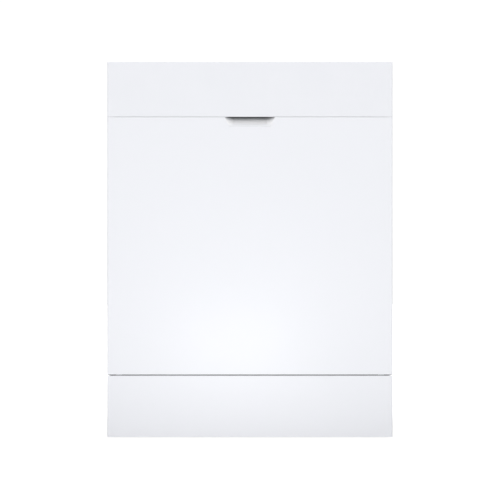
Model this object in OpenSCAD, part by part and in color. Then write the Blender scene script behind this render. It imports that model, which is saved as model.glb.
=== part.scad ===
// Built-in dishwasher for a 60 cm kitchen niche.
// Front faces -Y, floor is z = 0, all lengths in millimetres.

/* [Overall] */
// Width of the door front
front_w = 598; // [560:1:600]
// Depth from door front to rear frame
depth = 570; // [540:1:600]
// Height of the top edge of the front
front_top = 788.7; // [760:0.1:850]
// Half width of the cabinet
cab_x = 297; // [280:0.5:299]
// Height of the cabinet
cab_top = 783; // [750:0.5:845]

/* [Front panels] */
// Lower edge of the kick plate
kick_bottom = 3; // [0:0.5:40]
// Upper edge of the kick plate
kick_top = 131.8; // [100:0.1:150]
// Lower edge of the door panel
door_bottom = 133.8; // [104:0.1:160]
// Upper edge of the door panel
door_seam = 673.5; // [600:0.05:720]
// Lower edge of the fascia
fascia_bottom = 674.1; // [601:0.05:722]
// Sheet thickness of the front panels
skin = 1; // [0.8:0.1:1.5]
// Corner radius of the front panels
skin_r = 3; // [1:0.5:6]
// Depth of the folded edges
fold = 23; // [10:1:28]

/* [Handle pocket] */
// Width of the pocket at its top
pocket_top_w = 106.7; // [80:0.1:160]
// Width of the pocket at its bottom
pocket_bottom_w = 86; // [60:0.1:140]
// Height of the pocket opening
pocket_h = 21; // [15:0.1:40]
// Depth of the pocket
pocket_depth = 30; // [15:1:30]

/* [Door] */
// Thickness of the door
door_t = 53; // [45:1:60]
// Pivot distance behind the front
pivot_in = 29; // [27:0.5:32]
// Height of the pivot
pivot_z = 163; // [160:0.5:170]
// Radius of the pivot pin
pin_r = 4; // [3:0.5:6]
// Half width of the inner liner
liner_x = 286; // [270:1:287]

/* [Wash chamber] */
// Half width inside the tub
tub_x = 270; // [250:1:272]
// Height of the rack track
track_z = 187; // [185:0.5:190]
// Height of the tub ceiling
tub_top = 765; // [700:1:820]
// Rear wall of the tub
tub_back = 250; // [220:1:262]
// Sheet thickness of the tub
tub_t = 1; // [0.5:0.1:1.5]
// Height of the trough floor
trough_z = 158; // [155:1:165]
// Half width of the trough
trough_x = 238; // [220:1:240]

/* [Racks] */
// Front plane of both racks
rack_front = -196; // [-200:1:-190]
// Rear plane of both racks
rack_back = 236; // [200:1:240]
// Floor height of the lower rack
lower_floor = 216; // [212:1:225]
// Floor height of the upper rack
upper_floor = 470; // [450:1:500]
// Radius of the frame wire
frame_wire = 2.4; // [1.5:0.1:3]
// Radius of the fine wire
fine_wire = 1.6; // [1:0.1:2.5]

/* [Hidden] */
front_y = -depth / 2;
rear_y = depth / 2;
hw = front_w / 2;
liner_y = front_y + door_t;
pivot_y = front_y + pivot_in;
flange_y = liner_y + 7;
trough_front = liner_y + 20;
hub_y = 19;
base_top = 150;
base_low = 22;
base_front = -213;
arm_r = 214;
arm_x = 281;
rope_x = 287.8;
roller_z = 520;
roller_r = 10;
rail_x = 250;
button_y = front_y + 13;
foot_x = 250;
foot_front = -180;
foot_rear = 250;
wheel_r = 12;
wheel_front = -86;
wheel_rear = 150;
gap = 0.05;
$fn = 48;

white = [0.94, 0.95, 0.96];
steel = [0.75, 0.76, 0.78];
zinc = [0.68, 0.7, 0.71];
dark = [0.14, 0.14, 0.15];
grey = [0.5, 0.52, 0.55];
pale = [0.85, 0.86, 0.86];

// Box from its low corner to its high corner.
module span(a, b) {
  translate(a)
    cube([b[0] - a[0], b[1] - a[1], b[2] - a[2]]);
}

// Same shape on both sides.
module both() {
  children();
  mirror([1, 0, 0])
    children();
}

// Rounded rectangle with its centre at the origin.
module round_rect(w, h, r) {
  union() {
    square([w, h - 2 * r], center = true);
    square([w - 2 * r, h], center = true);
    for (x = [-1, 1])
      for (y = [-1, 1])
        translate([x * (w / 2 - r), y * (h / 2 - r)])
          circle(r);
  }
}

// Flat shape drawn in x and z, given a thickness that runs from y1 to y2.
module in_xz(y1, y2) {
  translate([0, y2, 0])
    rotate([90, 0, 0])
      linear_extrude(y2 - y1)
        children();
}

// Flat shape drawn in y and z, given a thickness that runs from x1 to x2.
module in_yz(x1, x2) {
  translate([x1, 0, 0])
    rotate([90, 0, 90])
      linear_extrude(x2 - x1)
        children();
}

// Flat shape drawn in x and y, given a thickness that runs from z1 to z2.
module in_xy(z1, z2) {
  translate([0, 0, z1])
    linear_extrude(z2 - z1)
      children();
}

// Round bar between two points along one axis.
module bar_x(x1, x2, y, z, r) {
  translate([x1, y, z])
    rotate([0, 90, 0])
      cylinder(r = r, h = x2 - x1);
}

module bar_y(y1, y2, x, z, r) {
  translate([x, y2, z])
    rotate([90, 0, 0])
      cylinder(r = r, h = y2 - y1);
}

module bar_z(z1, z2, x, y, r) {
  translate([x, y, z1])
    cylinder(r = r, h = z2 - z1);
}

// Front pan with rounded upright edges, open at the back.
module pan(z1, z2, t) {
  difference() {
    in_xy(z1, z2)
      intersection() {
        translate([0, front_y + 50])
          round_rect(front_w, 100, skin_r);
        translate([-hw, front_y])
          square([front_w, fold]);
      }
    in_xy(z1 + t, z2 - t)
      intersection() {
        translate([0, front_y + 50])
          round_rect(front_w - 2 * t, 100 - 2 * t, skin_r - t);
        translate([-hw, front_y])
          square([front_w, fold + 1]);
      }
  }
}

// Upright cylinder on the z axis.
module cylinder_span(z1, z2, r) {
  translate([0, 0, z1])
    cylinder(r = r, h = z2 - z1);
}

// ---- Cabinet ----

module base_pan() {
  color(dark)
    difference() {
      union() {
        difference() {
          in_xy(base_low, base_top)
            translate([0, (base_front + 283) / 2])
              round_rect(590, 283 - base_front, 12);
          in_xy(base_low + 3, base_top + 1)
            translate([0, (base_front + 283) / 2])
              round_rect(584, 283 - base_front - 6, 9);
        }
        for (x = [-foot_x, foot_x])
          for (y = [foot_front, foot_rear])
            bar_z(base_low, 86, x, y, 16);
        for (x = [-150, 0, 150])
          span([x - 1.5, base_front + 1, base_low + 1], [x + 1.5, -150, 60]);
      }
      for (x = [-foot_x, foot_x])
        for (y = [foot_front, foot_rear])
          bar_z(base_low - 1, 82, x, y, 5 + gap);
      bar_y(275, 290, -200, 60, 18);
      bar_y(275, 290, -60, 60, 13);
      span([165, 275, 45], [225, 290, 85]);
    }
}

module side_frame() {
  difference() {
    union() {
      span([cab_x - 1, flange_y + 1.1, base_low + 4], [cab_x, 283, cab_top]);
      span([cab_x - 12, flange_y + 1.1, 206], [cab_x, flange_y + 2.1, cab_top]);
      span([cab_x - 22, 282, base_low + 130], [cab_x, 283, cab_top]);
      span([cab_x - 22, flange_y + 1.1, cab_top - 1], [cab_x, 283, cab_top]);
    }
    in_yz(cab_x - 5, cab_x + 5)
      translate([25, 462])
        round_rect(350, 456, 25);
    for (y = [-190, 250])
      for (z = [250, 670])
        bar_x(cab_x - 5, cab_x + 5, y, z, 2.2);
  }
}

module side_frame_left() {
  color(zinc)
    mirror([1, 0, 0])
      side_frame();
}

module side_frame_right() {
  color(zinc)
    side_frame();
}

module crossbar(y1, y2) {
  span([-cab_x + 2, y1, cab_top - 2.2], [cab_x - 2, y2, cab_top - 1.2]);
  span([-cab_x + 24, y1, cab_top - 14], [cab_x - 24, y1 + 1, cab_top - 1.5]);
}

module top_crossbars() {
  color(zinc)
    difference() {
      union() {
        crossbar(-220, -180);
        crossbar(240, 280);
      }
      for (x = [-200, 200])
        bar_z(cab_top - 10, cab_top + 5, x, -200, 2.2);
    }
}

module back_panel() {
  color(zinc)
    difference() {
      span([-cab_x + 2, 283.2, base_low + 4], [cab_x - 2, 284.2, 300]);
      bar_y(280, 290, -200, 60, 18);
      bar_y(280, 290, -60, 60, 13);
      span([165, 280, 45], [225, 290, 85]);
    }
}

module frame_screws() {
  color(steel)
    both()
      for (y = [-190, 250])
        for (z = [250, 670])
          union() {
            bar_x(cab_x, cab_x + 1.6, y, z, 4);
            bar_x(cab_x - 8, cab_x + 1, y, z, 2.15);
          }
}

module kick_plate() {
  color(white)
    union() {
      difference() {
        in_xy(kick_bottom, kick_top)
          intersection() {
            translate([0, front_y + 50])
              round_rect(front_w, 100, skin_r);
            translate([-hw, front_y])
              square([front_w, fold]);
          }
        in_xy(kick_bottom + 1.2, kick_top + 1)
          intersection() {
            translate([0, front_y + 50])
              round_rect(front_w - 2.4, 97.6, skin_r - 1.2);
            translate([-hw, front_y])
              square([front_w, fold + 1]);
          }
        span([-hw - 1, front_y + 2, 118], [hw + 1, front_y + 40, kick_top + 1]);
      }
      both()
        span([190, front_y + 1, 60], [210, base_front, 62]);
    }
}

// ---- Wash chamber ----

module tub_section(t) {
  union() {
    translate([0, (track_z + tub_top) / 2])
      round_rect(2 * (tub_x + t), tub_top - track_z + 2 * t, 22 + t);
    translate([-tub_x - t, track_z - t])
      square([2 * (tub_x + t), 60]);
    translate([-trough_x - t, trough_z - t])
      square([2 * (trough_x + t), 60]);
  }
}

module tub_flange() {
  difference() {
    translate([-cab_x + 0.5, 206])
      square([2 * cab_x - 1, cab_top - 2.5 - 206]);
    tub_section(0);
  }
}

module tub() {
  color(steel)
    difference() {
      union() {
        difference() {
          in_xz(flange_y, tub_back + tub_t)
            tub_section(tub_t);
          in_xz(trough_front, tub_back)
            tub_section(0);
          in_xz(flange_y - 1, trough_front + 1)
            intersection() {
              tub_section(0);
              translate([-300, track_z])
                square([600, 700]);
            }
          span([-300, flange_y - 1, trough_z - 5], [300, trough_front - tub_t, track_z - tub_t]);
        }
        in_xz(flange_y, flange_y + 1)
          tub_flange();
      }
      span([-300, flange_y - 2, track_z], [300, tub_back + 5, track_z + gap]);
      bar_z(trough_z - 5, trough_z + 5, 0, hub_y, 118);
      bar_z(trough_z - 5, trough_z + 5, -160, 150, 31);
      both()
        for (y = [-212, -186])
          bar_x(tub_x - 5, tub_x + 5, y, roller_z, 3 + gap);
    }
}

module door_gasket() {
  color(dark)
    in_xz(liner_y + 0.1, flange_y)
      difference() {
        translate([0, (track_z + tub_top) / 2])
          round_rect(2 * tub_x + 16, tub_top - track_z + 16, 29);
        translate([0, (track_z + tub_top) / 2])
          round_rect(2 * tub_x + 2, tub_top - track_z + 2, 23);
        translate([-300, 100])
          square([600, 106]);
      }
}

module lower_seal() {
  color(dark)
    union() {
      span([-trough_x, trough_front - 5, 170], [trough_x, trough_front - 1, 184]);
      span([-trough_x, trough_front - 7, 181], [trough_x, trough_front - 4, 184]);
    }
}

module damping_mats() {
  color(dark) {
    in_yz(tub_x + 1, tub_x + 4)
      translate([25, 462])
        round_rect(400, 480, 8);
    in_xy(tub_top + 1, tub_top + 4)
      translate([0, 15])
        round_rect(440, 380, 8);
    in_xz(tub_back + 1, tub_back + 4)
      translate([0, 500])
        round_rect(440, 360, 8);
  }
}

module heat_exchanger() {
  color(pale)
    difference() {
      in_yz(-cab_x + 3, -tub_x - 1.5)
        translate([25, 455])
          round_rect(330, 440, 12);
      for (z = [290 : 55 : 620])
        in_yz(-cab_x + 2, -cab_x + 6)
          translate([25, z])
            round_rect(290, 12, 5);
    }
}

module strike_plate() {
  color(steel)
    union() {
      span([-22, flange_y - 1.5, 773.4], [22, flange_y, 780.4]);
      span([-5, flange_y - 20, 774.5], [5, flange_y - 1, 777]);
      span([-5, flange_y - 20, 771.5], [5, flange_y - 17, 777]);
    }
}

// ---- Hinge parts on the cabinet ----

module hinge_brackets() {
  color(zinc)
    both()
      union() {
        in_yz(290, 293)
          union() {
            translate([pivot_y, pivot_z])
              circle(12);
            translate([pivot_y, pivot_z])
              square([base_front + 17 - pivot_y, 12]);
          }
        in_yz(288.8, 291.8)
          translate([base_front + 12.2, 60])
            square([12, 104]);
        bar_x(arm_x - 7, 292, pivot_y, pivot_z, pin_r);
        bar_x(284, 293.5, -196, 178, 3);
        in_yz(290, 293)
          translate([-204, 165])
            square([14, 19]);
      }
}

module door_springs() {
  color(steel)
    both()
      union() {
        bar_y(-120, 60, rope_x, 167, 6.5);
        bar_y(59, 82, rope_x, 167, 1.5);
        bar_x(rope_x, cab_x - 1, 81, 167, 2);
        bar_y(-196, -119, rope_x, 167, 0.9);
        bar_y(pivot_y + 2.4, -196, rope_x, 189, 0.9);
      }
}

module rope_pulleys() {
  color(dark)
    both()
      translate([0, -196, 178])
        rotate([0, 90, 0])
          translate([0, 0, 285.5])
            difference() {
              union() {
                cylinder(r = 10, h = 4.2);
                cylinder(r = 12, h = 1);
                translate([0, 0, 3.4])
                  cylinder(r = 12, h = 0.8);
              }
              translate([0, 0, -1])
                cylinder(r = 3 + gap, h = 8);
            }
}

// ---- Water system ----

module sump() {
  color(dark)
    union() {
      difference() {
        bar_z(88, trough_z - tub_t - 0.1, 0, hub_y, 123);
        bar_z(92, trough_z, 0, hub_y, 114);
        bar_z(154, trough_z + 1, 0, hub_y, 118);
      }
      bar_z(90, 186, 0, hub_y, 12);
    }
}

module filter_plate() {
  color(steel)
    difference() {
      union() {
        bar_z(154, 156, 0, hub_y, 117.5);
        difference() {
          bar_z(154, 157.5, 0, hub_y, 117.5);
          bar_z(153, 158, 0, hub_y, 112);
        }
      }
      bar_z(150, 160, 0, hub_y, 12.5);
      bar_z(150, 160, 62, hub_y + 30, 36);
    }
}

module filter_cup() {
  color(grey)
    translate([62, hub_y + 30, 0])
      union() {
        difference() {
          cylinder_span(100, 158, 33);
          cylinder_span(103, 159, 30.5);
          for (a = [0 : 36 : 324])
            rotate([0, 0, a])
              span([25, -4, 112], [40, 4, 148]);
        }
        difference() {
          cylinder_span(156.2, 159, 38.5);
          cylinder_span(150, 162, 30.5);
        }
        span([-31, -2.5, 155], [31, 2.5, 168]);
        span([-8, -4, 155], [8, 4, 173]);
      }
}

module circulation_pump() {
  color(grey)
    union() {
      bar_x(123.2, 150, 30, 80, 32);
      bar_x(148, 158, 30, 80, 50);
      bar_x(156, 235, 30, 80, 40);
      bar_x(233, 243, 30, 80, 24);
      bar_z(78, 140, 150, 90, 11);
      span([140, 28, 72], [160, 92, 90]);
    }
}

module drain_pump() {
  color(dark)
    union() {
      bar_y(142.2, 210, 30, 112, 22);
      bar_y(208, 222, 30, 112, 14);
      bar_x(-60, 32, 190, 112, 9);
      bar_z(60, 112, -60, 190, 9);
      bar_y(188, 283.1, -60, 60, 9);
      bar_y(262, rear_y, -60, 60, 10);
    }
}

module salt_container() {
  color(pale)
    difference() {
      union() {
        in_xy(64, 148)
          translate([-198, 110])
            round_rect(130, 200, 30);
        bar_z(146, 162, -160, 150, 30);
      }
      bar_z(68, 170, -160, 150, 26 + gap);
      in_xy(68, 144)
        translate([-198, 110])
          round_rect(122, 192, 26);
    }
}

module salt_cap() {
  color(pale)
    union() {
      bar_z(162.1, 172, -160, 150, 34);
      bar_z(150, 163, -160, 150, 26);
      span([-186, 147, 171], [-134, 153, 178]);
    }
}

module inlet_valve() {
  color(pale)
    difference() {
      union() {
        span([-225, 225, 42], [-175, 268, 86]);
        bar_y(266, rear_y, -200, 60, 13.2);
        bar_y(266, 272, -200, 60, 16.5);
        bar_z(84, 110, -200, 245, 14);
      }
      bar_y(250, rear_y + 1, -200, 60, 9);
    }
}

module power_module() {
  color(dark)
    difference() {
      union() {
        span([130, 190, 30], [230, 270, 95]);
        span([170, 268, 50], [220, rear_y, 80]);
      }
      span([176, 262, 55], [214, rear_y + 1, 75]);
    }
}

module feed_pipe() {
  color(grey)
    union() {
      span([-16, 238.5, 186], [16, tub_back - 0.5, tub_top - 4]);
      span([-16, 60, tub_top - 15], [16, tub_back - 0.5, tub_top - 4]);
      bar_z(tub_top - 15, tub_top - 4, 0, 60, 24);
      bar_y(237.5, 246, 0, 452, 14);
      span([-12, 120, 157.6], [12, 130, 184]);
      span([-16, 120, 174], [16, tub_back - 0.5, 186]);
    }
}

module top_shower() {
  color(grey)
    difference() {
      union() {
        bar_z(tub_top - 24, tub_top - 15.1, 0, 60, 34);
        bar_z(tub_top - 30, tub_top - 23, 0, 60, 22);
      }
      for (a = [0 : 45 : 315])
        translate([28 * cos(a), 60 + 28 * sin(a), tub_top - 30])
          cylinder(r = 2, h = 12);
    }
}

// Spray arm with its hub on the z axis.
module spray_blade(r, w, h) {
  difference() {
    union() {
      in_xy(0, h)
        round_rect(2 * r, w, w / 2 - 0.5);
      cylinder(r = w / 2 + 8, h = h);
    }
    for (i = [0 : 5])
      translate([r - 16 - i * 30, 8 - i * 3, h - 3])
        cylinder(r = 2, h = 5);
    for (i = [0 : 5])
      translate([-r + 20 + i * 30, -8 + i * 3, h - 3])
        cylinder(r = 2, h = 5);
  }
}

module lower_spray_arm() {
  color(grey)
    translate([0, hub_y, 0])
      difference() {
        union() {
          translate([0, 0, 189])
            spray_blade(arm_r, 46, 11);
          cylinder_span(174, 190, 20);
        }
        cylinder_span(170, 187, 12 + gap);
      }
}

// ---- Feet ----

module foot(x, y) {
  color(dark)
    union() {
      bar_z(0, 5, x, y, 17);
      bar_z(4, base_low - 0.2, x, y, 11);
      bar_z(10, 78, x, y, 5);
    }
}

module foot_front_left() {
  foot(-foot_x, foot_front);
}

module foot_front_right() {
  foot(foot_x, foot_front);
}

module foot_rear_left() {
  foot(-foot_x, foot_rear);
}

module foot_rear_right() {
  foot(foot_x, foot_rear);
}

// ---- Rail rollers on the tub walls ----

module roller_pair(y) {
  color(pale)
    both()
      union() {
        bar_x(tub_x - 16, tub_x - 6, y, roller_z, roller_r);
        bar_x(tub_x - 8, tub_x + 3.5, y, roller_z, 3);
      }
}

module rollers_front() {
  roller_pair(-212);
}

module rollers_rear() {
  roller_pair(-186);
}

// ---- Door ----

module pocket_front(grow) {
  polygon([
    [-pocket_bottom_w / 2 - grow, fascia_bottom - pocket_h - grow],
    [pocket_bottom_w / 2 + grow, fascia_bottom - pocket_h - grow],
    [pocket_top_w / 2 + grow, fascia_bottom + grow],
    [-pocket_top_w / 2 - grow, fascia_bottom + grow]
  ]);
}

module pocket_space(grow) {
  hull() {
    in_xz(front_y - 0.1, front_y + 0.4 + grow)
      pocket_front(grow);
    in_xz(front_y + pocket_depth * 0.6, front_y + pocket_depth + grow)
      polygon([
        [-38 - grow, fascia_bottom - 9 - grow],
        [38 + grow, fascia_bottom - 9 - grow],
        [40 + grow, fascia_bottom + 18 + grow],
        [-40 - grow, fascia_bottom + 18 + grow]
      ]);
    in_xz(front_y + 5, front_y + 9)
      polygon([
        [-40 - grow, fascia_bottom - 17 - grow],
        [40 + grow, fascia_bottom - 17 - grow],
        [46 + grow, fascia_bottom + 18 + grow],
        [-46 - grow, fascia_bottom + 18 + grow]
      ]);
  }
}

module door_panel() {
  color(white)
    difference() {
      pan(door_bottom, door_seam, skin);
      in_xz(front_y - 1, front_y + 3)
        pocket_front(0);
      span([-60, front_y + 2, door_seam - 40], [60, front_y + fold + 1, door_seam + 1]);
      both()
        span([268, pivot_y - 15, door_bottom - 1], [283, front_y + fold + 1, door_bottom + skin + 1]);
    }
}

module fascia() {
  color(white)
    difference() {
      in_xy(fascia_bottom, front_top)
        intersection() {
          translate([0, front_y + 50])
            round_rect(front_w, 100, skin_r);
          translate([-hw, front_y])
            square([front_w, door_t - 0.5]);
        }
      difference() {
        span([-hw + 2.5, front_y + 2.5, fascia_bottom - 1], [hw - 2.5, liner_y + 1, front_top - 3]);
        span([-62, front_y + 2, fascia_bottom - 2], [62, front_y + 4, fascia_bottom + 19]);
      }
      for (x = [-230, -90, 90, 230])
        in_xy(front_top - 4, front_top + 1)
          translate([x, button_y])
            round_rect(26.4, 10.4, 4.2);
      span([-45, button_y - 7, front_top - 1.6], [45, button_y + 7, front_top + 1]);
      span([-40, button_y - 5, front_top - 4], [40, button_y + 5, front_top + 1]);
      span([-hw - 1, front_y + fold, fascia_bottom - 1], [-liner_x - 1, liner_y, front_top - 20]);
      span([liner_x + 1, front_y + fold, fascia_bottom - 1], [hw + 1, liner_y, front_top - 20]);
    }
}

module handle_pocket() {
  color(white)
    difference() {
      pocket_space(2);
      pocket_space(0);
      span([-80, front_y - 5, fascia_bottom - 60], [80, front_y + 1.1, fascia_bottom + 60]);
      span([-80, front_y - 5, fascia_bottom - 2], [80, front_y + 4.1, fascia_bottom + 60]);
    }
}

module door_liner() {
  color(steel)
    difference() {
      in_xz(liner_y - 29, liner_y)
        translate([0, (137 + 781) / 2])
          round_rect(2 * liner_x, 781 - 137, 12);
      in_xz(liner_y - 30, liner_y - 1)
        translate([0, (137 + 781) / 2])
          round_rect(2 * liner_x - 2, 781 - 137 - 2, 11);
      span([-hw, liner_y - 30, 130], [hw, liner_y - 13, 210]);
      span([-hw, liner_y - 30, 700], [hw, liner_y - 13, 790]);
      span([-88, liner_y - 2, 482], [68, liner_y + 1, 602]);
      span([-8, liner_y - 2, 769.5], [8, liner_y + 1, 778.5]);
    }
}

module hinge_arms() {
  color(zinc)
    both()
      difference() {
        union() {
          span([279, pivot_y - 12, 140], [282, pivot_y + 10, 430]);
          span([269, pivot_y - 12, 165], [282, pivot_y - 10, 430]);
          span([269, pivot_y - 14, door_bottom - 1.5], [282, pivot_y + 2, 148]);
          bar_x(281, rope_x + 2.2, pivot_y, 189, 2.4);
        }
        bar_x(270, 290, pivot_y, pivot_z, pin_r + gap);
      }
}

module dispenser() {
  color(grey)
    difference() {
      union() {
        in_xz(liner_y, liner_y + 1)
          translate([-10, 545])
            round_rect(172, 136, 10);
        span([-86, liner_y - 28, 484], [66, liner_y + 0.5, 600]);
        for (x = [-86, -7])
          span([x, liner_y + 0.5, 484], [x + 3, liner_y + 4, 606]);
      }
      span([-78, liner_y - 25, 494], [-12, liner_y + 2, 548]);
      bar_y(liner_y - 20, liner_y + 3, 36, 545, 15 + gap);
      span([2, liner_y - 24, 566], [60, liner_y - 20, 590]);
    }
}

module detergent_lid() {
  color(pale)
    union() {
      span([-82.8, liner_y + 1.1, 490], [-7.2, liner_y + 3, 552]);
      span([-62, liner_y + 2.5, 494], [-28, liner_y + 4.5, 499]);
    }
}

module rinse_cap() {
  color(pale)
    union() {
      bar_y(liner_y + 1.1, liner_y + 5, 36, 545, 19);
      bar_y(liner_y - 12, liner_y + 2, 36, 545, 15);
      span([20, liner_y + 4, 543], [52, liner_y + 8, 547]);
    }
}

module door_latch() {
  color(dark)
    difference() {
      span([-30, liner_y - 28, 760], [30, liner_y - 1.1, 779.9]);
      span([-8, liner_y - 26, 769.5], [8, liner_y, 778.5]);
    }
}

module control_module() {
  color(dark)
    difference() {
      span([-262, front_y + 4, 748], [262, front_y + 22, 776]);
      span([-258, front_y + 7, 746], [258, front_y + 19, 760]);
    }
}

module display_window() {
  color(dark)
    union() {
      span([-44.5, button_y - 6.5, front_top - 1.5], [44.5, button_y + 6.5, front_top - 0.1]);
      span([-39.5, button_y - 4.5, front_top - 4], [39.5, button_y + 4.5, front_top - 1]);
    }
}

module button(x) {
  color(pale)
    union() {
      in_xy(front_top - 3.6, front_top - 0.2)
        translate([x, button_y])
          round_rect(26, 10, 4);
      in_xy(front_top - 5.4, front_top - 3.2)
        translate([x, button_y])
          round_rect(29, 12.5, 4);
      bar_z(778.4, front_top - 4, x, button_y, 2.5);
    }
}

module power_button() {
  button(-230);
}

module program_button() {
  button(-90);
}

module option_button() {
  button(90);
}

module start_button() {
  button(230);
}

// ---- Racks ----

module wire_x(x1, x2, y, z, r) {
  translate([x1, y, z])
    rotate([0, 90, 0])
      cylinder(r = r, h = x2 - x1, $fn = 8);
}

module wire_y(y1, y2, x, z, r) {
  translate([x, y2, z])
    rotate([90, 0, 0])
      cylinder(r = r, h = y2 - y1, $fn = 8);
}

module wire_z(z1, z2, x, y, r) {
  translate([x, y, z1])
    cylinder(r = r, h = z2 - z1, $fn = 8);
}

// Horizontal wire ring, its corners closed by overlap.
module wire_ring(hx, y1, y2, z, r) {
  for (y = [y1, y2])
    wire_x(-hx - r * 0.9, hx + r * 0.9, y, z, r);
  for (x = [-hx, hx])
    wire_y(y1 - r * 0.9, y2 + r * 0.9, x, z, r);
}

// Floor grid of a rack inside its bottom ring.
module rack_floor(hx, z, nx, ny) {
  dx = 2 * hx / nx;
  dy = (rack_back - rack_front) / ny;
  union() {
    wire_ring(hx, rack_front, rack_back, z, frame_wire);
    for (i = [1 : nx - 1])
      wire_y(rack_front - 1, rack_back + 1, -hx + i * dx, z + 1, fine_wire);
    for (j = [1 : ny - 1])
      wire_x(-hx - 1, hx + 1, rack_front + j * dy, z - 1, fine_wire);
  }
}

// Front or back wall of a rack, standing on the bottom ring.
module rack_end(hx, y, z1, z2, nx) {
  union() {
    wire_x(-hx - frame_wire * 0.9, hx + frame_wire * 0.9, y, z2, frame_wire);
    wire_x(-hx - 1, hx + 1, y, (z1 + z2) / 2, fine_wire);
    for (i = [0 : nx])
      wire_z(z1 + 2.7, z2 + 1, -hx + i * 2 * hx / nx, y, fine_wire);
  }
}

// Side wall of a rack, between its front and back walls.
module rack_side(x, z1, z2, ny) {
  dy = (rack_back - rack_front) / ny;
  y1 = rack_front + frame_wire + gap;
  y2 = rack_back - frame_wire - gap;
  union() {
    wire_y(y1, y2, x, z2, frame_wire);
    wire_y(y1, y2, x, (z1 + z2) / 2, fine_wire);
    for (j = [1 : ny - 1])
      wire_z(z1 + frame_wire + gap, z2 + 1, x, rack_front + j * dy, fine_wire);
  }
}

module upper_basket() {
  color(grey) {
    rack_floor(238, upper_floor, 10, 8);
    for (y = [rack_front, rack_back])
      rack_end(238, y, upper_floor, upper_floor + 120, 10);
    both()
      difference() {
        union() {
          rack_side(238, upper_floor, upper_floor + 120, 8);
          for (y = [-150, 190])
            span([236.5, y - 8, roller_z - 8], [rail_x + 0.2, y + 8, roller_z + 8]);
          for (y = [-100, 100])
            span([225.5, y - 4, 560.5], [238, y + 4, 567.5]);
          for (y = [-100, 100])
            wire_z(560, 591, 238, y, fine_wire);
        }
        bar_y(-110, 110, 228, 564, fine_wire + gap);
      }
  }
}

module rack_rails() {
  color(zinc)
    both()
      in_xz(-196, 244)
        difference() {
          translate([rail_x + 0.25, roller_z - roller_r - 1.6])
            square([13.55, 2 * roller_r + 3.2]);
          translate([rail_x + 1.4, roller_z - roller_r - 0.4])
            square([20, 2 * roller_r + 0.8]);
        }
}

module rack_duct() {
  color(grey)
    union() {
      bar_z(453.6, 464, 0, hub_y, 22);
      span([-12, hub_y, 457], [12, 234, 466.5]);
      bar_y(230, 237.3, 0, 455, 12);
      bar_z(436, 455, 0, hub_y, 7);
      bar_z(434, 437.5, 0, hub_y, 10);
    }
}

module upper_spray_arm() {
  color(grey)
    translate([0, hub_y, 0])
      difference() {
        translate([0, 0, 440])
          spray_blade(210, 40, 10);
        cylinder_span(430, 460, 7 + gap);
      }
}

module cup_shelf() {
  union() {
    for (y = [-120 : 40 : 120])
      wire_z(560, 622, 228, y, fine_wire);
    bar_y(-122, 122, 228, 564, fine_wire);
    for (z = [590, 618])
      wire_y(-122, 122, 228, z, fine_wire);
  }
}

module cup_shelf_left() {
  color(grey)
    mirror([1, 0, 0])
      cup_shelf();
}

module cup_shelf_right() {
  color(grey)
    cup_shelf();
}

module lower_basket() {
  color(grey) {
    difference() {
      union() {
        rack_floor(232, lower_floor, 10, 8);
        wire_x(-233, 0, -60, lower_floor - 1, fine_wire);
        for (x = [-171, -21])
          span([x - 3, -64, lower_floor - 2], [x + 3, -56, lower_floor + 10]);
      }
      bar_x(-180, -10, -60, lower_floor + 6, fine_wire + gap);
    }
    for (y = [rack_front, rack_back])
      rack_end(232, y, lower_floor, lower_floor + 118, 10);
    both()
      union() {
        rack_side(232, lower_floor, lower_floor + 118, 8);
        wire_z(lower_floor + 3, lower_floor + 119, 232, wheel_rear, fine_wire);
        for (y = [wheel_front, wheel_rear])
          union() {
            span([231.5, y - 6, lower_floor + 3], [238.5, y + 6, lower_floor + 22]);
            span([234.6, y - 6, track_z + 5], [238.5, y + 6, lower_floor + 4]);
            bar_x(238, 254, y, track_z + wheel_r + 0.3, 3);
          }
      }
    for (y = [40, 100])
      union() {
        wire_x(-154, 64, y, lower_floor + 4.3, fine_wire);
        for (x = [-150 : 30 : 60])
          wire_z(lower_floor + 3, lower_floor + 62, x, y, fine_wire);
      }
  }
}

module wheel_pair(y) {
  color(pale)
    both()
      translate([0, y, track_z + wheel_r + 0.3])
        rotate([0, 90, 0])
          translate([0, 0, 241])
            difference() {
              union() {
                cylinder(r = wheel_r, h = 8);
                cylinder(r = 6, h = 11);
              }
              translate([0, 0, -1])
                cylinder(r = 3 + gap, h = 14);
            }
}

module wheels_front() {
  wheel_pair(wheel_front);
}

module wheels_rear() {
  wheel_pair(wheel_rear);
}

module fold_tines() {
  color(grey)
    union() {
      bar_x(-192, 0, -60, lower_floor + 6, fine_wire);
      for (x = [-180 : 30 : 0])
        wire_z(lower_floor + 5, lower_floor + 78, x - 6, -60, fine_wire);
    }
}

// Wall of the cutlery basket with rows of windows.
module lattice_x(x, y1, y2) {
  difference() {
    span([x, y1, lower_floor + 7.1], [x + 2, y2, lower_floor + 124]);
    for (z = [0 : 4])
      for (y = [y1 + 8 : 14 : y2 - 14])
        span([x - 1, y, lower_floor + 14 + z * 21], [x + 3, y + 9, lower_floor + 30 + z * 21]);
  }
}

module lattice_y(y, x1, x2) {
  difference() {
    span([x1, y, lower_floor + 7.1], [x2, y + 2, lower_floor + 124]);
    for (z = [0 : 4])
      for (x = [x1 + 7 : 14 : x2 - 14])
        span([x, y - 1, lower_floor + 14 + z * 21], [x + 9, y + 3, lower_floor + 30 + z * 21]);
  }
}

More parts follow.
